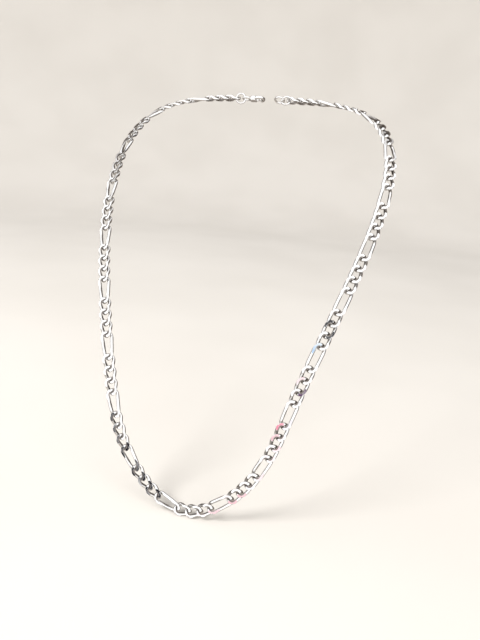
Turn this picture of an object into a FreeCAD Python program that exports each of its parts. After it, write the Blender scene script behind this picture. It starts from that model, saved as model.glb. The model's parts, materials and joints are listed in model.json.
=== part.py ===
import FreeCAD, Part
import math
import os

# A flat-cut Figaro necklace (one long link, then three short ones) with a lobster clasp.
# It holds the shape it has when worn: +X is the viewer's right, -Y is the front, +Z is up.
# The origin is the middle of the lowest link at the front, where a pendant would hang.

Vector = FreeCAD.Vector

# Chain, mm
WIRE = 1.6                 # drawn wire that the links are bent from
WIDTH = 6.1                # over the two rails of a link
THICKNESS = 2.0            # over the cut flats
SHORT_PITCH = 5.75         # contact to contact, short link
LONG_PITCH = 11.25         # contact to contact, long link
PLAY = 0.3                 # slack between the bows of two neighbours
PATTERNS_PER_SIDE = 10     # one long link and one trio of short links each

# Bend of a link: its two ends are turned opposite ways about its length, as in any curb link
BOW_TILT = math.radians(45)
SHORT_RAIL_TILT = math.radians(35)
LONG_RAIL_TILT = math.radians(8)
LONG_STRAIGHT = 2.5        # half of the straight stretch of a long link's rail
BOW_SHARE = 3.0            # how much of each corner the bow's arc takes against the rail's arc

# Line that the chain follows around the neck, right half; the left half mirrors it
FRONT = Vector(0, 0, 0)
CHEST = Vector(30.0, 3.4, 19.2)
COLLAR = Vector(45.4, 9.9, 58.8)
SHOULDER = Vector(55.4, 97.1, 192.6)
NAPE = Vector(0, 112.7, 199.8)

# Which way the flat side of the chain faces at those five places
FRONT_FACING = Vector(0, -1, 0.15)
CHEST_FACING = Vector(0, -1, 0.2)
COLLAR_FACING = Vector(0, -1, 0.3)
SHOULDER_FACING = Vector(0.5, -0.4, 1)
NAPE_FACING = Vector(0, 0.3, 1)

# Jump rings
RING_WIRE = 1.0
RING_RADIUS = 2.6          # to the middle of the wire
RING_CUT = 3.0             # degrees left open at the saw cut
CLASP_RING_TILT = math.radians(75)
END_JUMP_RING_TILT = math.radians(-75)
END_RING_TILT = math.radians(15)

# Lobster clasp, flat in its own XY plane, eye at its origin and nose towards +X
EYE_WIRE = 1.0
EYE_RADIUS = 2.1           # to the middle of the eye's wire
CLAW_WIRE = 1.7
CLAW_RADIUS = 2.6          # to the middle of the claw's wire
CLAW_CENTRE = Vector(7.4, 0, 0)
CLAW_ROOT_ANGLE = -160.0   # where the claw leaves the boss, degrees about the claw's centre
CLAW_TIP_ANGLE = 58.0
BOSS_CENTRE = Vector(4.0, 0, 0)
BOSS_RADIUS = 2.0
BOSS_HEIGHT = 2.6
BOSS_ROUNDING = 0.6
PIVOT = Vector(4.7, 1.3, 0)
PIN_RADIUS = 0.3
SLOT_HEIGHT = 1.3          # slot in the boss for the lever and its spring
SLOT_REACH = 1.9
SLOT_START_ANGLE = -42.0
SLOT_SWEEP = 122.0
LEVER_HUB_RADIUS = 0.85
LEVER_HUB_HEIGHT = 0.66
LEVER_ROOT = Vector(5.4, 1.6, 0)
LEVER_CROWN = Vector(6.5, 1.75, 0)
LEVER_TIP = Vector(7.85, 1.05, 0)
LEVER_WIRE = 1.0
TAB_TIP = Vector(5.0, 3.9, 0)
TAB_WIRE = 0.8
SPRING_WIRE = 0.18
SPRING_RADIUS = 0.52
SPRING_PITCH = 0.2
SPRING_TURNS = 1.5
FIT = 0.05                 # clearance around the pin, the lever's hub and the spring

X_AXIS = Vector(1, 0, 0)
Y_AXIS = Vector(0, 1, 0)
Z_AXIS = Vector(0, 0, 1)


# ---- one link -------------------------------------------------------------------------------

def biarc(start, start_dir, end, end_dir, share):
    """Two arcs that join start to end along the given directions: corner, joint, corner."""
    gap = end - start
    a = share * share + 1 + 2 * share * start_dir.dot(end_dir) - (1 + share) ** 2
    b = -2 * gap.dot(start_dir * share + end_dir)
    c = gap.dot(gap)
    root = math.sqrt(b * b - 4 * a * c)
    last = min(d for d in ((-b + root) / (2 * a), (-b - root) / (2 * a)) if d > 0)
    first = share * last
    corner_a = start + start_dir * first
    corner_b = end - end_dir * last
    joint = (corner_a * last + corner_b * first) / (first + last)
    return corner_a, joint, corner_b


def corner_arc(start, corner, end):
    """The arc that touches both legs of a corner whose legs are equal."""
    half_angle = 0.5 * (start - corner).getAngle(end - corner)
    weight = math.sin(half_angle)
    middle = (start + end + corner * (2 * weight)) / (2 + 2 * weight)
    return Part.Arc(start, middle, end).toShape()


def tube(edge, radius):
    """Round wire along one edge."""
    start = edge.valueAt(edge.FirstParameter)
    along = edge.tangentAt(edge.FirstParameter)
    section = Part.Face(Part.Wire([Part.makeCircle(radius, start, along)]))
    return Part.Wire([edge]).makePipe(section)


def make_link(pitch, rail_tilt, straight):
    """A twisted oval link along X: a quarter of it, turned about its three axes."""
    half_length = (pitch + WIRE + PLAY) / 2
    bow = Vector(half_length, 0, 0)
    bow_dir = Vector(0, math.cos(BOW_TILT), math.sin(BOW_TILT))
    rail = Vector(0, (WIDTH - WIRE) / 2, 0)
    rail_dir = Vector(-math.cos(rail_tilt), 0, -math.sin(rail_tilt))
    rail_end = rail - rail_dir * straight
    corner_a, joint, corner_b = biarc(bow, bow_dir, rail_end, rail_dir, BOW_SHARE)
    edges = [corner_arc(bow, corner_a, joint), corner_arc(joint, corner_b, rail_end)]
    if straight > 0:
        edges.append(Part.makeLine(rail_end, rail))
    tubes = [tube(edge, WIRE / 2) for edge in edges]
    quarter = tubes[0].fuse(tubes[1:])
    flats = Part.makeBox(4 * pitch, 2 * WIDTH, THICKNESS)
    flats.translate(Vector(-2 * pitch, -WIDTH, -THICKNESS / 2))
    quarter = quarter.common(flats)
    others = []
    for axis in (X_AXIS, Y_AXIS, Z_AXIS):
        turned = quarter.copy()
        turned.rotate(Vector(0, 0, 0), axis, 180)
        others.append(turned)
    return quarter.fuse(others).Solids[0]


# ---- the line around the neck ---------------------------------------------------------------

def mirrored(v):
    return Vector(-v.x, v.y, v.z)


def around(front, chest, collar, shoulder, nape):
    """The eight stations in order from the nape down the left side and up the right."""
    left = [mirrored(v) for v in (shoulder, collar, chest)]
    return [nape] + left + [front, chest, collar, shoulder]


def closed_spline(stations, knots):
    """A smooth loop: it is drawn open, with OVERLAP stations repeated beyond the nape both ways."""
    spline = Part.BSplineCurve()
    loop = stations[-OVERLAP:] + stations + stations[:OVERLAP + 1]
    spline.interpolate(Points=loop, Parameters=knots)
    return spline


OVERLAP = 4
STATIONS = around(FRONT, CHEST, COLLAR, SHOULDER, NAPE)
FACINGS = around(FRONT_FACING, CHEST_FACING, COLLAR_FACING, SHOULDER_FACING, NAPE_FACING)
KNOTS = [0.0]
for count in range(-OVERLAP, len(STATIONS) + OVERLAP):
    gap = STATIONS[(count + 1) % len(STATIONS)] - STATIONS[count % len(STATIONS)]
    KNOTS.append(KNOTS[-1] + gap.Length)
LINE = closed_spline(STATIONS, KNOTS)
FACING = closed_spline(FACINGS, KNOTS)
FRONT_KNOT = KNOTS[OVERLAP + STATIONS.index(FRONT)]


def step(knot, span):
    """The place on the line whose straight distance from knot is span (negative: to the left)."""
    start = LINE.value(knot)
    near = knot
    far = knot + 2 * span
    for _ in range(60):
        middle = (near + far) / 2
        if (LINE.value(middle) - start).Length < abs(span):
            near = middle
        else:
            far = middle
    return near


def frame_between(knot_a, knot_b):
    """Placement at the middle of two places: X along the chain, Z out of its flat side."""
    a = LINE.value(knot_a)
    b = LINE.value(knot_b)
    along = (b - a).normalize()
    facing = FACING.value((knot_a + knot_b) / 2)
    out = (facing - along * facing.dot(along)).normalize()
    across = out.cross(along)
    turn = FreeCAD.Rotation(along, across, out, "XYZ")
    return FreeCAD.Placement((a + b) / 2, turn)


def placed(shape, placement):
    copy = shape.copy()
    copy.Placement = placement.multiply(copy.Placement)
    return copy


# ---- rings and clasp ------------------------------------------------------------------------

def make_ring(tilt, cut):
    """A ring whose plane holds X and is turned by tilt about it; cut is its opening in degrees."""
    ring = Part.makeTorus(RING_RADIUS, RING_WIRE / 2, Vector(), Z_AXIS, 0, 360, 360 - cut)
    ring.rotate(Vector(), Z_AXIS, 90 + cut / 2)
    ring.rotate(Vector(), X_AXIS, math.degrees(tilt))
    return ring


def on_claw(angle):
    """A place on the middle line of the claw, angle in degrees."""
    turn = math.radians(angle)
    return CLAW_CENTRE + Vector(math.cos(turn), math.sin(turn), 0) * CLAW_RADIUS


def flat_disc(centre, radius, height):
    return Part.makeCylinder(radius, height, centre - Z_AXIS * (height / 2), Z_AXIS)


def rounded_wire(edge, radius):
    """Round wire along one edge, with round ends."""
    ends = [edge.valueAt(edge.FirstParameter), edge.valueAt(edge.LastParameter)]
    return tube(edge, radius).fuse([Part.makeSphere(radius, end) for end in ends])


def make_clasp_body():
    """Eye, boss and claw in one casting, slotted for the lever and drilled for its pin."""
    eye = Part.makeTorus(EYE_RADIUS, EYE_WIRE / 2)
    neck = tube(Part.makeLine(X_AXIS * EYE_RADIUS, BOSS_CENTRE), EYE_WIRE / 2)
    boss = flat_disc(BOSS_CENTRE, BOSS_RADIUS, BOSS_HEIGHT)
    rims = [edge for edge in boss.Edges if edge.Curve.TypeId == "Part::GeomCircle"]
    boss = boss.makeFillet(BOSS_ROUNDING, rims)
    claw_middle = (CLAW_ROOT_ANGLE + CLAW_TIP_ANGLE) / 2
    claw_arc = Part.Arc(on_claw(CLAW_ROOT_ANGLE), on_claw(claw_middle), on_claw(CLAW_TIP_ANGLE))
    claw = rounded_wire(claw_arc.toShape(), CLAW_WIRE / 2)
    slot_floor = PIVOT - Z_AXIS * (SLOT_HEIGHT / 2)
    slot = Part.makeCylinder(SLOT_REACH, SLOT_HEIGHT, slot_floor, Z_AXIS, SLOT_SWEEP)
    slot.rotate(PIVOT, Z_AXIS, SLOT_START_ANGLE)
    hub_room = flat_disc(PIVOT, LEVER_HUB_RADIUS + 2 * FIT, SLOT_HEIGHT)
    pin_hole = flat_disc(PIVOT, PIN_RADIUS + FIT, 2 * BOSS_HEIGHT)
    body = eye.fuse([neck, boss, claw])
    return body.cut([slot, hub_room, pin_hole]).Solids[0]


def make_lever():
    """The gate: a hub on the pin, an arm that closes the claw and a tab for the thumb."""
    hub_base = PIVOT - Z_AXIS * (SLOT_HEIGHT / 2 - FIT)
    hub = Part.makeCylinder(LEVER_HUB_RADIUS, LEVER_HUB_HEIGHT, hub_base, Z_AXIS)
    arm = rounded_wire(Part.Arc(LEVER_ROOT, LEVER_CROWN, LEVER_TIP).toShape(), LEVER_WIRE / 2)
    tab = rounded_wire(Part.makeLine(LEVER_ROOT, TAB_TIP), TAB_WIRE / 2)
    spring_room = flat_disc(PIVOT, SPRING_RADIUS + SPRING_WIRE / 2 + FIT, SLOT_HEIGHT)
    spring_room.translate(Z_AXIS * (LEVER_HUB_HEIGHT + FIT))
    pin_hole = flat_disc(PIVOT, PIN_RADIUS + FIT, 2 * BOSS_HEIGHT)
    return hub.fuse([arm, tab]).cut([spring_room, pin_hole]).Solids[0]


def make_pin():
    return flat_disc(PIVOT, PIN_RADIUS, BOSS_HEIGHT - FIT)


def make_spring():
    """The coil around the pin, above the lever's hub, that pushes the gate shut."""
    base = PIVOT + Z_AXIS * (LEVER_HUB_HEIGHT + 2 * FIT + SPRING_WIRE / 2 - SLOT_HEIGHT / 2)
    coil = Part.makeHelix(SPRING_PITCH, SPRING_PITCH * SPRING_TURNS, SPRING_RADIUS)
    start = Vector(SPRING_RADIUS, 0, 0)
    section = Part.Wire([Part.makeCircle(SPRING_WIRE / 2, start, Y_AXIS)])
    spring = Part.Wire(coil.Edges).makePipeShell([section], True, True)
    spring.translate(base)
    return spring


# ---- laying the pieces along the line -------------------------------------------------------

def ring_pitch():
    """Contact to contact through a jump ring, by the same rule as a link."""
    return 2 * RING_RADIUS - RING_WIRE - PLAY


def clasp_reach():
    """From the jump ring's contact in the eye to the end of the claw."""
    return eye_offset() + CLAW_CENTRE.x + CLAW_RADIUS + CLAW_WIRE / 2


def eye_offset():
    """From the jump ring's contact in the eye to the eye's centre."""
    return EYE_RADIUS - (EYE_WIRE + PLAY) / 2


def walk(knot, spans):
    """Steps along the line; each seat is the pair of places that a piece hangs between."""
    seats = []
    for span in spans:
        far = step(knot, span)
        seats.append((min(knot, far), max(knot, far)))
        knot = far
    return seats


def side_spans(sign):
    pattern = [LONG_PITCH, SHORT_PITCH, SHORT_PITCH, SHORT_PITCH]
    return [sign * span for span in pattern * PATTERNS_PER_SIDE]


def seat_chain():
    """Every node of the chain with the seats of its links, from the clasp's end to the other."""
    middle = PATTERNS_PER_SIDE + 1
    front_left = step(FRONT_KNOT, -SHORT_PITCH / 2)
    front_right = step(FRONT_KNOT, SHORT_PITCH / 2)
    middle_rest = walk(front_right, [SHORT_PITCH, SHORT_PITCH])
    left = walk(front_left, side_spans(-1))
    right = walk(middle_rest[-1][1], side_spans(1))
    seats = {"short_trio_%02d" % middle: [(front_left, front_right)] + middle_rest}
    for count in range(PATTERNS_PER_SIDE):
        block = 4 * count
        seats["long_link_%02d" % (middle - 1 - count)] = left[block:block + 1]
        seats["short_trio_%02d" % (middle - 1 - count)] = sorted(left[block + 1:block + 4])
        seats["long_link_%02d" % (middle + count)] = right[block:block + 1]
        seats["short_trio_%02d" % (middle + 1 + count)] = right[block + 1:block + 4]
    return dict(sorted(seats.items(), key=lambda item: item[1][0]))


# ---- build ----------------------------------------------------------------------------------

SHORT_LINK = make_link(SHORT_PITCH, SHORT_RAIL_TILT, 0)
LONG_LINK = make_link(LONG_PITCH, LONG_RAIL_TILT, LONG_STRAIGHT)
CHAIN_SEATS = seat_chain()
SHAPES = {}
for node, seats in CHAIN_SEATS.items():
    link = LONG_LINK if node.startswith("long") else SHORT_LINK
    laid = [placed(link, frame_between(*seat)) for seat in seats]
    SHAPES[node] = laid[0] if len(laid) == 1 else Part.makeCompound(laid)

# The left end carries a jump ring and the clasp, the right end a jump ring and a soldered ring
chain_start = min(seat[0] for seats in CHAIN_SEATS.values() for seat in seats)
chain_end = max(seat[1] for seats in CHAIN_SEATS.values() for seat in seats)
CLASP_RING_SEAT = walk(chain_start, [-ring_pitch()])[0]
END_SEATS = walk(chain_end, [ring_pitch(), ring_pitch()])
clasp_jump_ring = make_ring(CLASP_RING_TILT, RING_CUT)
end_jump_ring = make_ring(END_JUMP_RING_TILT, RING_CUT)
end_ring = make_ring(END_RING_TILT, 0)
SHAPES["clasp_jump_ring"] = placed(clasp_jump_ring, frame_between(*CLASP_RING_SEAT))
SHAPES["end_jump_ring"] = placed(end_jump_ring, frame_between(*END_SEATS[0]))
SHAPES["end_ring"] = placed(end_ring, frame_between(*END_SEATS[1]))

CLASP_SEAT = walk(CLASP_RING_SEAT[0], [-clasp_reach()])[0]
clasp_place = frame_between(*CLASP_SEAT)
clasp_place.Base = LINE.value(CLASP_SEAT[1])
nose_away = FreeCAD.Placement(Vector(), FreeCAD.Rotation(Z_AXIS, 180))
eye_in_ring = FreeCAD.Placement(X_AXIS * eye_offset(), FreeCAD.Rotation())
CLASP_PLACE = clasp_place * nose_away * eye_in_ring
SHAPES["clasp_body"] = placed(make_clasp_body(), CLASP_PLACE)
SHAPES["clasp_lever"] = placed(make_lever(), CLASP_PLACE)
SHAPES["clasp_pin"] = placed(make_pin(), CLASP_PLACE)
SHAPES["clasp_spring"] = placed(make_spring(), CLASP_PLACE)

os.makedirs("parts", exist_ok=True)
for node, shape in SHAPES.items():
    shape.exportStep("parts/%s.step" % node)
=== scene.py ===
import json
import math

import bpy
import numpy as np
from mathutils import Matrix, Vector


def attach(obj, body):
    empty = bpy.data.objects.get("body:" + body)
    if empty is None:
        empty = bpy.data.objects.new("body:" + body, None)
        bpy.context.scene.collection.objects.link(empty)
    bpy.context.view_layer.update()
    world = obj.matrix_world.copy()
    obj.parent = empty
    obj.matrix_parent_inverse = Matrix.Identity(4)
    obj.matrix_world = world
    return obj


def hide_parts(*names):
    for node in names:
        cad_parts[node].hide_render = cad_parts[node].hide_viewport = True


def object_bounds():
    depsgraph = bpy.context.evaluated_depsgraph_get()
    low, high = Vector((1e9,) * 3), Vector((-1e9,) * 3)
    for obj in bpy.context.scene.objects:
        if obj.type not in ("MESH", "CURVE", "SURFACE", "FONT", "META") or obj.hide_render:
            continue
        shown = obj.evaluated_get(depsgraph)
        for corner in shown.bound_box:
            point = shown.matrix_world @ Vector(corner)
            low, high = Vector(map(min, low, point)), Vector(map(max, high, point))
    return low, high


# A flat-cut Figaro necklace in polished silver.
# Every length is in metres, in the frame of the part, unless its comment says otherwise.
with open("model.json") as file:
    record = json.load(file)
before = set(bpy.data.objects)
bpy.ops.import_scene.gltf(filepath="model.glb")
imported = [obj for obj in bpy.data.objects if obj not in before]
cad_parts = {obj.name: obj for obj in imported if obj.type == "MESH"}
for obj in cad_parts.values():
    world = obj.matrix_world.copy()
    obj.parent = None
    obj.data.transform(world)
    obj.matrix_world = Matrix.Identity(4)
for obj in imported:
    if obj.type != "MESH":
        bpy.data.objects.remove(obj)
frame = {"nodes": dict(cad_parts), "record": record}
CAD_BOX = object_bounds()

# Chain links
WIRE = 0.0016                       # round wire that a link is bent from
THICKNESS = 0.0020                  # over the cut flats
BOW_TILT = math.radians(45)         # lean of the wire where two links meet
SHORT_RAIL_TILT = math.radians(35)
LONG_RAIL_TILT = math.radians(8)
LONG_STRAIGHT = 0.0025              # half of the straight stretch in a long link's rail
BOW_SHARE = 3.0                     # arc of the bow against arc of the rail, in each corner
EDGE = 0.00004                      # polish on the sharp edge of a cut flat
FLAT_LEAN = 0.02                    # slope of the cuts in each quarter, up and away from its middle
FLAT_WOBBLE = 0.018                 # how much that slope differs from quarter to quarter, at most
SMALLEST_FLAT = 0.2                 # half angle where a flat runs out into the round wire
STATIONS = {"short": 30, "long": 38}  # sections in a quarter of a link
ACROSS_FLAT = 7                     # columns over a cut flat
ACROSS_SIDE = 11                    # columns over a round side
ARC_POINTS = 200                    # places along each arc of a quarter before it is resampled
STRAIGHT_POINTS = 100
SEED = 24

# Rings and clasp
RING_SECTIONS = 120
WIRE_COLUMNS = 28
SAWN_FACING = 0.995                 # how squarely a face looks along a ring's wire at its sawn ends
CAST_VOXEL = 0.06                   # millimetres
LEVER_VOXEL = CAST_VOXEL * 0.7
TUMBLING = 6                        # passes of smoothing
PIN_DOME = 0.35                     # height of a rivet's dome against its radius
PIN_TIP = 0.02                      # radius left at the top of the dome, against the pin's
DOME_ROWS = 7
MM = 1000.0

WELDS = 1e8                         # corners closer than one part of this to a metre are joined
NO_AREA = 1e-20


# ---- shapes of the links --------------------------------------------------------------------

def biarc(start, start_dir, end, end_dir, share):
    """Two arcs that join start to end along the given directions: corner, joint, corner."""
    gap = end - start
    a = share * share + 1 + 2 * share * start_dir.dot(end_dir) - (1 + share) ** 2
    b = -2 * gap.dot(start_dir * share + end_dir)
    root = math.sqrt(b * b - 4 * a * gap.dot(gap))
    last = min(d for d in ((-b + root) / (2 * a), (-b - root) / (2 * a)) if d > 0)
    first = share * last
    corner_a = start + start_dir * first
    corner_b = end - end_dir * last
    joint = (corner_a * last + corner_b * first) / (first + last)
    return corner_a, joint, corner_b


def arc_points(start, corner, end, count):
    """Places along the arc that touches both legs of a corner, as a rational curve."""
    weight = math.sin(0.5 * (start - corner).angle(end - corner))
    t = np.linspace(0, 1, count)[:, None]
    whole = (1 - t) ** 2 + 2 * weight * t * (1 - t) + t ** 2
    mixed = (1 - t) ** 2 * np.array(start) + 2 * weight * t * (1 - t) * np.array(corner)
    return (mixed + t ** 2 * np.array(end)) / whole


def quarter_path(half_length, half_width, rail_tilt, straight):
    """Middle of the wire from the bow on +X to the rail on +Y, closely spaced."""
    bow = Vector((half_length, 0, 0))
    bow_dir = Vector((0, math.cos(BOW_TILT), math.sin(BOW_TILT)))
    rail = Vector((0, half_width, 0))
    rail_dir = Vector((-math.cos(rail_tilt), 0, -math.sin(rail_tilt)))
    rail_end = rail - rail_dir * straight
    corner_a, joint, corner_b = biarc(bow, bow_dir, rail_end, rail_dir, BOW_SHARE)
    bits = [arc_points(bow, corner_a, joint, ARC_POINTS),
            arc_points(joint, corner_b, rail_end, ARC_POINTS)[1:]]
    if straight > 0:
        t = np.linspace(0, 1, STRAIGHT_POINTS)[1:, None]
        bits.append(np.array(rail_end) * (1 - t) + np.array(rail) * t)
    return np.vstack(bits)


def resampled(path, count):
    """The same path with evenly spaced places, and its directions."""
    walked = np.r_[0, np.cumsum(np.linalg.norm(np.diff(path, axis=0), axis=1))]
    even = np.linspace(0, walked[-1], count + 1)
    places = np.stack([np.interp(even, walked, path[:, k]) for k in range(3)], 1)
    slopes = np.gradient(path, walked, axis=0)
    ways = np.stack([np.interp(even, walked, slopes[:, k]) for k in range(3)], 1)
    return places, ways / np.linalg.norm(ways, axis=1)[:, None]


def loop_path(kind, half_length, half_width):
    """Sections all round a link: a quarter, and its half turns about the link's three axes."""
    tilt = SHORT_RAIL_TILT if kind == "short" else LONG_RAIL_TILT
    straight = 0 if kind == "short" else LONG_STRAIGHT
    quarter = quarter_path(half_length, half_width, tilt, straight)
    places, ways = resampled(quarter, STATIONS[kind])
    about_x, about_y, about_z = np.array([[1, -1, -1], [-1, 1, -1], [-1, -1, 1]])
    path = [places[:-1], (places * about_y)[:0:-1],
            (places * about_z)[:-1], (places * about_x)[:0:-1]]
    turn = [ways[:-1], -(ways * about_y)[:0:-1], (ways * about_z)[:-1], -(ways * about_x)[:0:-1]]
    return np.vstack(path), np.vstack(turn)


def cut_angles(centre, up, side, slopes, sign):
    """Where each round section meets its cut flat: middle angle and half angle of the chord."""
    corner = np.arange(len(centre)) * 4 // len(centre)
    normal = np.column_stack([slopes[corner], np.ones(len(centre))]) * sign
    normal /= np.linalg.norm(normal, axis=1)[:, None]
    middle = np.array([centre[corner == k].mean(0) for k in range(4)])[corner]
    middle[:, 2] = sign * THICKNESS / 2
    along_up = (normal * up).sum(1)
    along_side = (normal * side).sum(1)
    room = (normal * (middle - centre)).sum(1) / (WIRE / 2 * np.hypot(along_up, along_side))
    return np.arctan2(along_side, along_up), np.arccos(np.clip(room, -1, 1)), normal


def flat_columns(half, opened):
    """Angle and distance of the columns over a flat: on its chord where there is one."""
    reach = np.sin(opened - EDGE / (WIRE / 2))[:, None] * np.linspace(-1, 1, ACROSS_FLAT)
    on_chord = np.abs(reach) < np.sin(half)[:, None]
    deep = np.cos(half)[:, None]
    angle = np.where(on_chord, np.arctan2(reach, deep), np.arcsin(reach))
    return angle, np.where(on_chord, np.hypot(reach, deep), 1.0), on_chord


def link_grid(kind, half_length, half_width, rng):
    """Points and outward directions of a link: rows are sections, columns run around the wire."""
    centre, way = loop_path(kind, half_length, half_width)
    up = np.array([0, 0, 1.0]) - way * way[:, 2:]
    up /= np.linalg.norm(up, axis=1)[:, None]
    side = np.cross(way, up)
    slopes = np.array([[-1, -1], [1, -1], [1, 1], [-1, 1]]) * FLAT_LEAN
    slopes = slopes + rng.uniform(-FLAT_WOBBLE, FLAT_WOBBLE, (4, 2))
    mid_t, half_t, normal_t = cut_angles(centre, up, side, slopes, 1)
    mid_b, half_b, normal_b = cut_angles(centre, up, side, slopes, -1)
    mid_b = np.mod(mid_b, 2 * math.pi)
    edge = EDGE / (WIRE / 2)
    open_t = np.maximum(half_t, SMALLEST_FLAT)
    open_b = np.maximum(half_b, SMALLEST_FLAT)
    angle_t, far_t, cut_t = flat_columns(half_t, open_t)
    angle_b, far_b, cut_b = flat_columns(half_b, open_b)
    side_a = np.linspace(mid_t + open_t + edge, mid_b - open_b - edge, ACROSS_SIDE, axis=1)
    once_round = mid_t - open_t - edge + 2 * math.pi
    side_b = np.linspace(mid_b + open_b + edge, once_round, ACROSS_SIDE, axis=1)
    angle = np.hstack([angle_t + mid_t[:, None], side_a, angle_b + mid_b[:, None], side_b])
    round_far = np.ones((len(centre), ACROSS_SIDE))
    far = np.hstack([far_t, round_far, far_b, round_far]) * WIRE / 2
    ray = np.cos(angle)[..., None] * up[:, None] + np.sin(angle)[..., None] * side[:, None]
    points = centre[:, None] + far[..., None] * ray
    normals = ray.copy()
    low = ACROSS_FLAT + ACROSS_SIDE
    normals[:, :ACROSS_FLAT][cut_t] = np.repeat(normal_t[:, None], ACROSS_FLAT, 1)[cut_t]
    normals[:, low:low + ACROSS_FLAT][cut_b] = np.repeat(normal_b[:, None], ACROSS_FLAT, 1)[cut_b]
    cut = np.zeros(angle.shape)
    cut[:, :ACROSS_FLAT] = cut_t
    cut[:, low:low + ACROSS_FLAT] = cut_b
    outward = centre / np.linalg.norm(centre, axis=1)[:, None]
    inner = np.clip(-(ray * outward[:, None]).sum(2), 0, 1)
    return points, normals, cut, inner


def grid_faces(rows, columns, closed_rows=True):
    """Quads of a grid whose columns close on themselves, and whose rows may."""
    last = rows if closed_rows else rows - 1
    i, j = np.meshgrid(np.arange(last), np.arange(columns), indexing="ij")
    i2, j2 = (i + 1) % rows, (j + 1) % columns
    corners = [i * columns + j, i * columns + j2, i2 * columns + j2, i2 * columns + j]
    return np.stack(corners, -1).reshape(-1, 4)


def wire_faces(rows, closed):
    """Quads along a round wire of WIRE_COLUMNS columns; an open one is capped at both ends."""
    # columns turn from outward to up while rows turn anticlockwise, so the quads run rows first
    faces = grid_faces(rows, WIRE_COLUMNS, closed)[:, ::-1].tolist()
    if not closed:
        faces.append(list(range(WIRE_COLUMNS)))
        faces.append(list(range(rows * WIRE_COLUMNS - 1, (rows - 1) * WIRE_COLUMNS - 1, -1)))
    return faces


# ---- reading the frame ----------------------------------------------------------------------

def triangles(node):
    """Triangles of a CAD node with shared corners joined: points, and rows of three indices."""
    mesh = frame["nodes"][node].data
    mesh.calc_loop_triangles()
    points = np.zeros(len(mesh.vertices) * 3)
    mesh.vertices.foreach_get("co", points)
    corners = np.zeros(len(mesh.loop_triangles) * 3, int)
    mesh.loop_triangles.foreach_get("vertices", corners)
    rounded = np.round(points.reshape(-1, 3) * WELDS).astype(np.int64)
    unique, index = np.unique(rounded, axis=0, return_inverse=True)
    return unique / WELDS, index.ravel()[corners].reshape(-1, 3)


def islands(points, faces):
    """The separate solids of a node, as lists of face rows."""
    label = np.arange(len(points))
    while True:
        before = label.copy()
        lowest = label[faces].min(1)
        for k in range(3):
            np.minimum.at(label, faces[:, k], lowest)
        label = label[label]
        if (label == before).all():
            break
    owner = label[faces[:, 0]]
    return [faces[owner == name] for name in np.unique(owner)]


def own_axes(points, faces):
    """Centre of a solid's skin, and its long, middle and short axes, from the skin's moments."""
    a, b, c = (points[faces[:, k]] for k in range(3))
    area = np.linalg.norm(np.cross(b - a, c - a), axis=1) / 2
    mean = (a + b + c) / 3
    centre = (mean * area[:, None]).sum(0) / area.sum()
    a, b, c, mean = a - centre, b - centre, c - centre, mean - centre
    spread = sum(np.einsum("n,ni,nj->ij", area, p, p) for p in (a, b, c))
    spread += 9 * np.einsum("n,ni,nj->ij", area, mean, mean)
    _, axes = np.linalg.eigh(spread)
    length = axes[:, 2] * (1 if axes[0, 2] >= 0 else -1)
    height = axes[:, 0] * (-1 if axes[1, 0] > 0 else 1)
    return centre, np.stack([length, np.cross(height, length), height])


# ---- pieces ---------------------------------------------------------------------------------

BODIES = frame["record"]["behaviour"]["bodies"]
BODY_OF = {node: body for body, nodes in BODIES.items() for node in nodes}


def add_piece(name, node, points, faces, normals, material, marks=None):
    """A mesh that stands for a CAD node and rides on its body."""
    mesh = bpy.data.meshes.new(name)
    mesh.from_pydata(points.tolist(), [], faces)
    mesh.shade_smooth()
    for mark, values in (marks or {}).items():
        mesh.attributes.new(mark, "FLOAT", "POINT").data.foreach_set("value", values)
    if normals is not None:
        mesh.normals_split_custom_set_from_vertices(normals.tolist())
    mesh.materials.append(material)
    piece = bpy.data.objects.new(name, mesh)
    bpy.context.scene.collection.objects.link(piece)
    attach(piece, BODY_OF[node])
    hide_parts(node)
    return piece


def chain_piece(node, material, rng):
    """All the links of a CAD node, each built again with polished edges and its own facets."""
    points, faces = triangles(node)
    kind = "short" if node.startswith("short") else "long"
    shells = {"points": [], "faces": [], "normals": [], "cut": [], "inner": []}
    start = 0
    for rows in islands(points, faces):
        centre, axes = own_axes(points, rows)
        own = (points[np.unique(rows)] - centre) @ axes.T
        half_length, half_width = np.ptp(own[:, :2], axis=0) / 2 - WIRE / 2
        place, normal, cut, inner = link_grid(kind, half_length, half_width, rng)
        count, columns = cut.shape
        shells["points"].append(place.reshape(-1, 3) @ axes + centre)
        shells["normals"].append(normal.reshape(-1, 3) @ axes)
        shells["faces"].append(grid_faces(count, columns) + start)
        shells["cut"].append(cut.ravel())
        shells["inner"].append(inner.ravel())
        start += count * columns
    joined = {name: np.concatenate(parts) for name, parts in shells.items()}
    marks = {name: joined[name] for name in ("cut", "inner")}
    faces = joined["faces"].tolist()
    name = node + "_links"
    return add_piece(name, node, joined["points"], faces, joined["normals"], material, marks)


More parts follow.
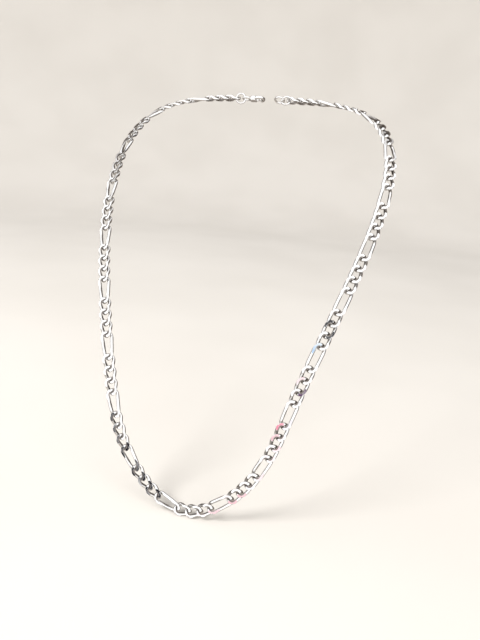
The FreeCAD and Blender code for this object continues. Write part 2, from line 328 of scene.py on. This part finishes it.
def ring_piece(node, material):
    """A jump ring of round wire; a sawn one keeps the bare, slightly eased ends of its cut."""
    points, faces = triangles(node)
    centre, axes = own_axes(points, faces)
    own = (points - centre) @ axes.T
    wire = np.ptp(own[:, 2]) / 2
    flat = own[:, :2]
    columns = np.column_stack([flat, np.ones(len(flat))])
    solved = np.linalg.lstsq(columns, (flat ** 2).sum(1), rcond=None)[0]
    middle = solved[:2] / 2
    away = np.linalg.norm(flat - middle, axis=1)
    radius = (away.max() + away.min()) / 2
    a, b, c = (own[faces[:, k]] for k in range(3))
    facing = np.cross(b - a, c - a)
    facing /= np.maximum(np.linalg.norm(facing, axis=1), NO_AREA)[:, None]
    spot = (a + b + c)[:, :2] / 3 - middle
    spot /= np.linalg.norm(spot, axis=1)[:, None]
    on_cut = np.abs(facing[:, 1] * spot[:, 0] - facing[:, 0] * spot[:, 1]) > SAWN_FACING
    closed = not on_cut.any()
    turn = np.linspace(0, 2 * math.pi, RING_SECTIONS, endpoint=not closed)
    grow = np.ones(RING_SECTIONS)
    if not closed:
        seam = math.atan2(spot[on_cut, 1].mean(), spot[on_cut, 0].mean())
        ends = np.arctan2(spot[on_cut, 1], spot[on_cut, 0]) - seam + math.pi
        gap = np.abs(np.mod(ends, 2 * math.pi) - math.pi).max()
        turn = seam + gap + turn * (1 - gap / math.pi)
        turn = np.r_[turn[0], turn[0], turn[1:-1], turn[-1], turn[-1]]
        turn[1] += EDGE / radius
        turn[-2] -= EDGE / radius
        grow = np.ones(len(turn))
        grow[[0, -1]] = 1 - EDGE / wire
    around = np.linspace(0, 2 * math.pi, WIRE_COLUMNS, endpoint=False)
    out = np.stack([np.cos(turn), np.sin(turn), np.zeros(len(turn))], 1)
    upward = np.array([0, 0, 1.0])
    ray = np.cos(around)[:, None] * out[:, None] + np.sin(around)[:, None] * upward
    place = out[:, None] * radius + ray * (wire * grow)[:, None, None]
    place[..., :2] += middle
    faces = wire_faces(len(turn), closed)
    normals = ray.reshape(-1, 3) @ axes if closed else None
    place = place.reshape(-1, 3) @ axes + centre
    return add_piece(node + "_wire", node, place, faces, normals, material)


def cast_piece(node, material, voxel, passes):
    """The CAD solid as a casting: its inner corners filled and its edges tumbled round."""
    points, faces = triangles(node)
    middle = (points.min(0) + points.max(0)) / 2
    mesh = bpy.data.meshes.new(node + "_rough")
    mesh.from_pydata(((points - middle) * MM).tolist(), [], faces.tolist())
    rough = bpy.data.objects.new(node + "_rough", mesh)
    bpy.context.scene.collection.objects.link(rough)
    remesh = rough.modifiers.new("even", "REMESH")
    remesh.mode = "VOXEL"
    remesh.voxel_size = voxel
    tumble = rough.modifiers.new("tumble", "SMOOTH")
    tumble.factor = 0.5
    tumble.iterations = passes
    bpy.context.view_layer.update()
    finished = rough.evaluated_get(bpy.context.evaluated_depsgraph_get()).to_mesh()
    place = np.array([v.co for v in finished.vertices]) / MM + middle
    quads = [list(polygon.vertices) for polygon in finished.polygons]
    bpy.data.objects.remove(rough)
    return add_piece(node + "_cast", node, place, quads, None, material)


def pin_piece(node, material):
    """A riveted pin: round wire with domed ends."""
    points, faces = triangles(node)
    centre, axes = own_axes(points, faces)
    own = (points - centre) @ axes.T
    half = np.ptp(own[:, 0]) / 2
    radius = np.ptp(own[:, 1]) / 2
    lean = np.linspace(0, math.pi / 2, DOME_ROWS)
    dome = radius * PIN_DOME
    profile_x = np.r_[-half + dome * (1 - np.sin(lean[::-1])), half - dome * (1 - np.sin(lean))]
    profile_r = np.r_[radius * np.cos(lean[::-1]), radius * np.cos(lean)]
    profile_r = np.maximum(profile_r, radius * PIN_TIP)
    around = np.linspace(0, 2 * math.pi, WIRE_COLUMNS, endpoint=False)
    place = np.stack([np.repeat(profile_x[:, None], WIRE_COLUMNS, 1),
                      profile_r[:, None] * np.cos(around),
                      profile_r[:, None] * np.sin(around)], -1)
    faces = wire_faces(len(profile_x), False)
    place = place.reshape(-1, 3) @ axes + centre
    return add_piece(node + "_rivet", node, place, faces, None, material)


# ---- materials ------------------------------------------------------------------------------

# sockets of a Mix node that share a name, so they are taken by number
MIX_SHARE, FLOAT_A, FLOAT_B, FLOAT_OUT = 0, 2, 3, 0
COLOUR_A, COLOUR_B, COLOUR_OUT = 6, 7, 2


class Shader:
    """Builds one procedural material, a node at a time."""

    def __init__(self, name):
        self.material = bpy.data.materials.new(name)
        self.material.use_nodes = True
        self.tree = self.material.node_tree
        self.surface = self.tree.nodes["Principled BSDF"]
        self.place = self.node("ShaderNodeTexCoord").outputs["Object"]

    def node(self, kind, **settings):
        made = self.tree.nodes.new(kind)
        for name, value in settings.items():
            setattr(made, name, value)
        return made

    def link(self, value, socket):
        if isinstance(value, bpy.types.NodeSocket):
            self.tree.links.new(value, socket)
        else:
            socket.default_value = value

    def attribute(self, name):
        return self.node("ShaderNodeAttribute", attribute_name=name).outputs["Fac"]

    def math(self, operation, a, b=0.0, clamp=False):
        made = self.node("ShaderNodeMath", operation=operation, use_clamp=clamp)
        self.link(a, made.inputs[0])
        self.link(b, made.inputs[1])
        return made.outputs[0]

    def noise(self, size, detail=3.0, stretch=(1, 1, 1), turn=(0, 0, 0), roughness=0.5):
        """Cloudy noise whose patches are size metres across, divided by stretch along each axis."""
        mapping = self.node("ShaderNodeMapping")
        mapping.inputs["Rotation"].default_value = turn
        mapping.inputs["Scale"].default_value = [k / size for k in stretch]
        self.link(self.place, mapping.inputs["Vector"])
        made = self.node("ShaderNodeTexNoise")
        made.inputs["Scale"].default_value = 1.0
        made.inputs["Detail"].default_value = detail
        made.inputs["Roughness"].default_value = roughness
        self.link(mapping.outputs[0], made.inputs["Vector"])
        return made.outputs["Fac"]

    def ramp(self, value, low, high, to_low=0.0, to_high=1.0):
        made = self.node("ShaderNodeMapRange", interpolation_type="SMOOTHSTEP")
        for socket, number in zip(("Value", "From Min", "From Max", "To Min", "To Max"),
                                  (value, low, high, to_low, to_high)):
            self.link(number, made.inputs[socket])
        return made.outputs[0]

    def mix(self, share, a, b):
        made = self.node("ShaderNodeMix", data_type="RGBA")
        self.link(share, made.inputs["Factor"])
        self.link(a, made.inputs[COLOUR_A])
        self.link(b, made.inputs[COLOUR_B])
        return made.outputs[COLOUR_OUT]

    def bump(self, height, distance, strength=1.0):
        made = self.node("ShaderNodeBump")
        made.inputs["Distance"].default_value = distance
        made.inputs["Strength"].default_value = strength
        self.link(height, made.inputs["Height"])
        self.link(made.outputs[0], self.surface.inputs["Normal"])

    def finish(self, colour, roughness, metallic):
        self.link(colour, self.surface.inputs["Base Color"])
        self.link(roughness, self.surface.inputs["Roughness"])
        self.link(metallic, self.surface.inputs["Metallic"])
        return self.material


WHITE_SILVER = (0.972, 0.968, 0.958, 1)
WARM_SILVER = (0.93, 0.905, 0.865, 1)
TARNISH = (0.50, 0.43, 0.35, 1)     # in the corners of the castings
PAINTED_INWARD_SHADE = (0.11, 0.075, 0.05, 1)     # painted shade on the inward sides of the links, where the wires shadow each other
STEEL = (0.56, 0.56, 0.58, 1)
OILED_STEEL = (0.46, 0.43, 0.40, 1)
PAPER = (0.50, 0.475, 0.44, 1)
PALE_PAPER = (0.53, 0.505, 0.47, 1)


def silver_tint(shader, clouds, most):
    """White silver that turns warmer in cloudy patches, by the share most where it is warmest."""
    return shader.mix(shader.ramp(clouds, 0.35, 0.7, 0, most), WHITE_SILVER, WARM_SILVER)


def scratches(shader, size, turn):
    """Fine polishing lines, size apart, running along the turned X axis."""
    lines = shader.noise(size, 1.0, (0.03, 1, 1), turn)
    return shader.ramp(lines, 0.52, 0.72)


def chain_silver():
    """Mirror-cut flats, tumbled round sides, and dark painted shade on the sides that face inwards.
    """
    shader = Shader("chain_silver")
    cut = shader.attribute("cut")
    inner = shader.attribute("inner")
    clouds = shader.noise(0.006, 2.0)
    spots = shader.noise(0.0007, 4.0)
    lines = shader.math("MAXIMUM", scratches(shader, 0.00006, (0.3, 0.2, 0.6)),
                        scratches(shader, 0.00008, (1.1, 0.7, -0.9)))
    # painted shade: the sides of the wire that face into their link darken in spots towards a
    # near-black brown, standing in for the shadow between the wires; the same mask makes them
    # rougher
    inward_shade = shader.math("MULTIPLY", shader.ramp(inner, 0.3, 0.8),
                         shader.ramp(spots, 0.3, 0.75, 0.75, 1.0))
    colour = silver_tint(shader, clouds, 0.35)
    colour = shader.mix(shader.math("MULTIPLY", inward_shade, 0.92), colour, PAINTED_INWARD_SHADE)
    side_rough = shader.ramp(spots, 0.25, 0.8, 0.10, 0.24)
    flat_rough = shader.ramp(clouds, 0.3, 0.75, 0.035, 0.09)
    rough = shader.node("ShaderNodeMix", data_type="FLOAT")
    shader.link(cut, rough.inputs[MIX_SHARE])
    shader.link(side_rough, rough.inputs[FLOAT_A])
    shader.link(flat_rough, rough.inputs[FLOAT_B])
    worn = shader.math("ADD", rough.outputs[FLOAT_OUT], shader.math("MULTIPLY", lines, 0.05))
    worn = shader.math("ADD", worn, shader.math("MULTIPLY", inward_shade, 0.18), clamp=True)
    height = shader.math("ADD", shader.math("MULTIPLY", lines, -0.3), shader.noise(0.0004, 2.0))
    height = shader.math("MULTIPLY", height, shader.ramp(cut, 0.0, 1.0, 1.0, 0.15))
    shader.bump(height, 0.000003, 0.6)
    return shader.finish(colour, worn, 1.0)


def cast_silver():
    """Cast and tumbled: a soft orange peel, fine polishing lines, and tarnish in the inner corners.
    """
    shader = Shader("cast_silver")
    clouds = shader.noise(0.004, 3.0)
    peel = shader.noise(0.0003, 3.0)
    lines = scratches(shader, 0.00009, (0.2, 0.9, 0.4))
    edge = shader.node("ShaderNodeNewGeometry").outputs["Pointiness"]
    recess = shader.ramp(edge, 0.50, 0.42)
    colour = silver_tint(shader, clouds, 0.4)
    colour = shader.mix(shader.math("MULTIPLY", recess, 0.6), colour, TARNISH)
    rough = shader.math("ADD", shader.ramp(clouds, 0.3, 0.75, 0.08, 0.17),
                        shader.math("MULTIPLY", lines, 0.06))
    rough = shader.math("ADD", rough, shader.math("MULTIPLY", recess, 0.2), clamp=True)
    shader.bump(shader.math("ADD", peel, shader.math("MULTIPLY", lines, -0.4)), 0.000006, 0.6)
    return shader.finish(colour, rough, 1.0)


def drawn_silver():
    """Wire as it comes from the draw plate: faint lines along it, and some handling marks."""
    shader = Shader("drawn_silver")
    clouds = shader.noise(0.003, 3.0)
    grain = shader.noise(0.00012, 3.0, (1, 1, 0.2))
    colour = silver_tint(shader, clouds, 0.5)
    rough = shader.math("ADD", shader.ramp(grain, 0.3, 0.7, 0.09, 0.2),
                        shader.ramp(clouds, 0.5, 0.8, 0, 0.05))
    shader.bump(grain, 0.000004, 0.6)
    return shader.finish(colour, rough, 1.0)


def spring_steel():
    """Hard-drawn spring wire, greyer than the silver, with a trace of oil in its colour."""
    shader = Shader("spring_steel")
    clouds = shader.noise(0.0008, 3.0)
    grain = shader.noise(0.00005, 2.0)
    colour = shader.mix(shader.ramp(clouds, 0.35, 0.7), STEEL, OILED_STEEL)
    shader.bump(grain, 0.000003, 0.6)
    return shader.finish(colour, shader.ramp(grain, 0.3, 0.7, 0.22, 0.4), 1.0)


def studio_paper():
    """Matt pale backdrop paper, a little warm, with a fine tooth."""
    shader = Shader("studio_paper")
    tooth = shader.noise(0.0008, 4.0)
    clouds = shader.noise(0.25, 2.0)
    colour = shader.mix(shader.ramp(clouds, 0.3, 0.7), PAPER, PALE_PAPER)
    shader.bump(tooth, 0.00002, 0.4)
    return shader.finish(colour, shader.ramp(tooth, 0.3, 0.7, 0.85, 0.95), 0.0)


rng = np.random.default_rng(SEED)
CHAIN_SILVER = chain_silver()
CAST_SILVER = cast_silver()
DRAWN_SILVER = drawn_silver()
SPRING_STEEL = spring_steel()
CHAIN = sorted(node for node in frame["nodes"] if node.startswith(("short_trio", "long_link")))
for node in CHAIN:
    chain_piece(node, CHAIN_SILVER, rng)
for node in ("clasp_jump_ring", "end_jump_ring", "end_ring"):
    ring_piece(node, DRAWN_SILVER)
cast_piece("clasp_body", CAST_SILVER, CAST_VOXEL, TUMBLING)
cast_piece("clasp_lever", CAST_SILVER, LEVER_VOXEL, TUMBLING)
pin_piece("clasp_pin", SPRING_STEEL)
spring = frame["nodes"]["clasp_spring"]
spring.data.materials.clear()
spring.data.materials.append(SPRING_STEEL)


# ---- camera, light and floor ----------------------------------------------------------------

CAMERA_AZIMUTH = math.radians(14.58)
CAMERA_ELEVATION = math.radians(15.86)
CAMERA_ROLL = math.radians(4.84)
CAMERA_DISTANCE = 0.2691
CAMERA_TARGET = Vector((0.0113, 0.0355, 0.0887))
FOCAL_LENGTHS = 543.5 / 640         # focal length against the height of the picture
BLACK = (0.012, 0.012, 0.018, 1)
PINK = (0.95, 0.25, 0.38, 1)
ROSE = (0.98, 0.62, 0.68, 1)
PLUM = (0.16, 0.09, 0.17, 1)
LILAC = (0.55, 0.42, 0.62, 1)
BLUE = (0.42, 0.66, 0.95, 1)
# Link that mirrors the card, which way the flat leans that does, colour, and the angles in degrees
# within which the card is full and beyond which it is gone.
CARDS = (
    ("short_trio_10", -1, BLACK, 3.2, 3.7),
    ("short_trio_10", 1, BLACK, 2.2, 2.7),
    ("short_trio_13", 1, PINK, 2.2, 3.4),
    ("short_trio_13", -1, ROSE, 2.0, 3.0),
    ("short_trio_14", 1, PLUM, 2.2, 3.0),
    ("short_trio_14", -1, ROSE, 1.8, 2.6),
    ("long_link_13", 1, LILAC, 1.2, 2.4),
    ("short_trio_15", 1, BLACK, 2.4, 2.8),
    ("short_trio_15", -1, BLACK, 1.9, 2.3),
    ("long_link_14", -1, BLUE, 1.5, 2.6),
)
DIM_SKY = (0.16, 0.135, 0.115, 1)
# Direction, the angles as for the cards, and colour. Later patches cover earlier ones.
SKY = (
    ((0, -1, 0.35), 70, 98, (1.3, 1.3, 1.31, 1)),
    ((0, 0, 1), 20, 45, (1.25, 1.25, 1.27, 1)),
    ((0, 0, -1), 35, 65, (0.50, 0.45, 0.40, 1)),
    ((1, 0.25, 0.1), 14, 26, (0.05, 0.05, 0.06, 1)),
    ((-1, 0.35, 0.0), 12, 24, (0.06, 0.05, 0.05, 1)),
)
SOFTBOXES = (  # name, place, diameter, watts
    ("key", (-0.9, -1.1, 1.5), 0.8, 52),
    ("fill", (1.2, -1.0, 1.0), 1.2, 22),
)
FLOOR_GAP = 0.0002                  # between the lowest link and the floor
FLOOR_RADIUS = 1.2                  # of the level part
FLOOR_HOLE = 0.02                   # radius of the single face in the middle
SWEEP_RADIUS = 0.8
WALL_HEIGHT = 0.6
BOWL_TURNS = 96
LEVEL_ROWS = 12
SWEEP_ROWS = 16


def add_camera():
    a, e, r = CAMERA_AZIMUTH, CAMERA_ELEVATION, CAMERA_ROLL
    back = Vector((math.sin(a) * math.cos(e), -math.cos(a) * math.cos(e), math.sin(e)))
    right = Vector((math.cos(a), math.sin(a), 0))
    up = back.cross(right)
    turned_right = right * math.cos(r) + up * math.sin(r)
    turned_up = up * math.cos(r) - right * math.sin(r)
    data = bpy.data.cameras.new("camera")
    data.sensor_fit = "VERTICAL"
    data.lens = FOCAL_LENGTHS * data.sensor_height
    data.clip_start = 0.01
    camera = bpy.data.objects.new("camera", data)
    axes = Matrix((turned_right, turned_up, back)).transposed().to_4x4()
    camera.matrix_world = Matrix.Translation(CAMERA_TARGET + back * CAMERA_DISTANCE) @ axes
    bpy.context.scene.collection.objects.link(camera)
    bpy.context.scene.camera = camera
    return camera


def seen_in(node, lean, camera):
    """The direction that the camera sees mirrored in one flat of a node's middle link."""
    points, faces = triangles(node)
    solids = islands(points, faces)
    centre, axes = own_axes(points, solids[len(solids) // 2])
    normal = axes[2] + lean * FLAT_LEAN * (axes[0] + axes[1])
    normal /= np.linalg.norm(normal)
    to_camera = np.array(camera.matrix_world.translation) - centre
    to_camera /= np.linalg.norm(to_camera)
    return 2 * normal.dot(to_camera) * normal - to_camera


def add_world(camera):
    """White in front and above, dim behind and at the sides, with small coloured cards."""
    world = bpy.data.worlds.new("studio")
    bpy.context.scene.world = world
    world.use_nodes = True
    tree = world.node_tree
    look = tree.nodes.new("ShaderNodeTexCoord").outputs["Generated"]

    def share(direction, inner, outer):
        """1 within inner degrees of a direction, falling to 0 at outer degrees."""
        dot = tree.nodes.new("ShaderNodeVectorMath")
        dot.operation = "DOT_PRODUCT"
        dot.inputs[1].default_value = Vector(direction).normalized()
        tree.links.new(look, dot.inputs[0])
        ramp = tree.nodes.new("ShaderNodeMapRange")
        ramp.interpolation_type = "SMOOTHSTEP"
        ramp.inputs["From Min"].default_value = math.cos(math.radians(outer))
        ramp.inputs["From Max"].default_value = math.cos(math.radians(inner))
        tree.links.new(dot.outputs["Value"], ramp.inputs["Value"])
        return ramp.outputs[0]

    def painted(below, factor, colour):
        made = tree.nodes.new("ShaderNodeMix")
        made.data_type = "RGBA"
        tree.links.new(factor, made.inputs["Factor"])
        if isinstance(below, tuple):
            made.inputs[COLOUR_A].default_value = below
        else:
            tree.links.new(below, made.inputs[COLOUR_A])
        made.inputs[COLOUR_B].default_value = colour
        return made.outputs[COLOUR_OUT]

    sky = DIM_SKY
    for direction, inner, outer, colour in SKY:
        sky = painted(sky, share(direction, inner, outer), colour)
    for node, lean, colour, inner, outer in CARDS:
        sky = painted(sky, share(seen_in(node, lean, camera), inner, outer), colour)
    tree.links.new(sky, tree.nodes["Background"].inputs["Color"])


def add_softbox(name, place, target, size, power):
    data = bpy.data.lights.new(name, "AREA")
    data.shape = "DISK"
    data.size = size
    data.energy = power
    light = bpy.data.objects.new(name, data)
    light.location = place
    light.rotation_euler = (Vector(place) - Vector(target)).to_track_quat("Z", "Y").to_euler()
    light.visible_glossy = False
    bpy.context.scene.collection.objects.link(light)


def add_bowl(floor_height):
    """A pale round floor whose rim sweeps up into a wall, so that no horizon shows."""
    turns = np.linspace(0, 2 * math.pi, BOWL_TURNS, endpoint=False)
    lean = np.linspace(0, math.pi / 2, SWEEP_ROWS)[1:]
    reach = np.r_[np.linspace(FLOOR_HOLE, FLOOR_RADIUS, LEVEL_ROWS),
                  FLOOR_RADIUS + SWEEP_RADIUS * np.sin(lean), FLOOR_RADIUS + SWEEP_RADIUS]
    height = np.r_[np.zeros(LEVEL_ROWS),
                   SWEEP_RADIUS * (1 - np.cos(lean)), SWEEP_RADIUS + WALL_HEIGHT]
    place = np.stack([reach[:, None] * np.cos(turns), reach[:, None] * np.sin(turns),
                      np.repeat(height[:, None], BOWL_TURNS, 1) + floor_height], -1)
    mesh = bpy.data.meshes.new("studio_floor")
    faces = grid_faces(len(reach), BOWL_TURNS, False)[:, ::-1].tolist()
    faces.append(list(range(BOWL_TURNS)))
    mesh.from_pydata(place.reshape(-1, 3).tolist(), [], faces)
    mesh.shade_smooth()
    mesh.materials.append(studio_paper())
    bowl = bpy.data.objects.new("studio_floor", mesh)
    bowl.visible_glossy = False
    bpy.context.scene.collection.objects.link(bowl)


camera = add_camera()
add_world(camera)
lowest, highest = (Vector(corner) for corner in CAD_BOX)
middle = (lowest + highest) / 2
add_bowl(lowest.z - FLOOR_GAP)
for name, place, size, power in SOFTBOXES:
    add_softbox(name, place, middle, size, power)
bpy.context.scene.view_settings.view_transform = "Standard"
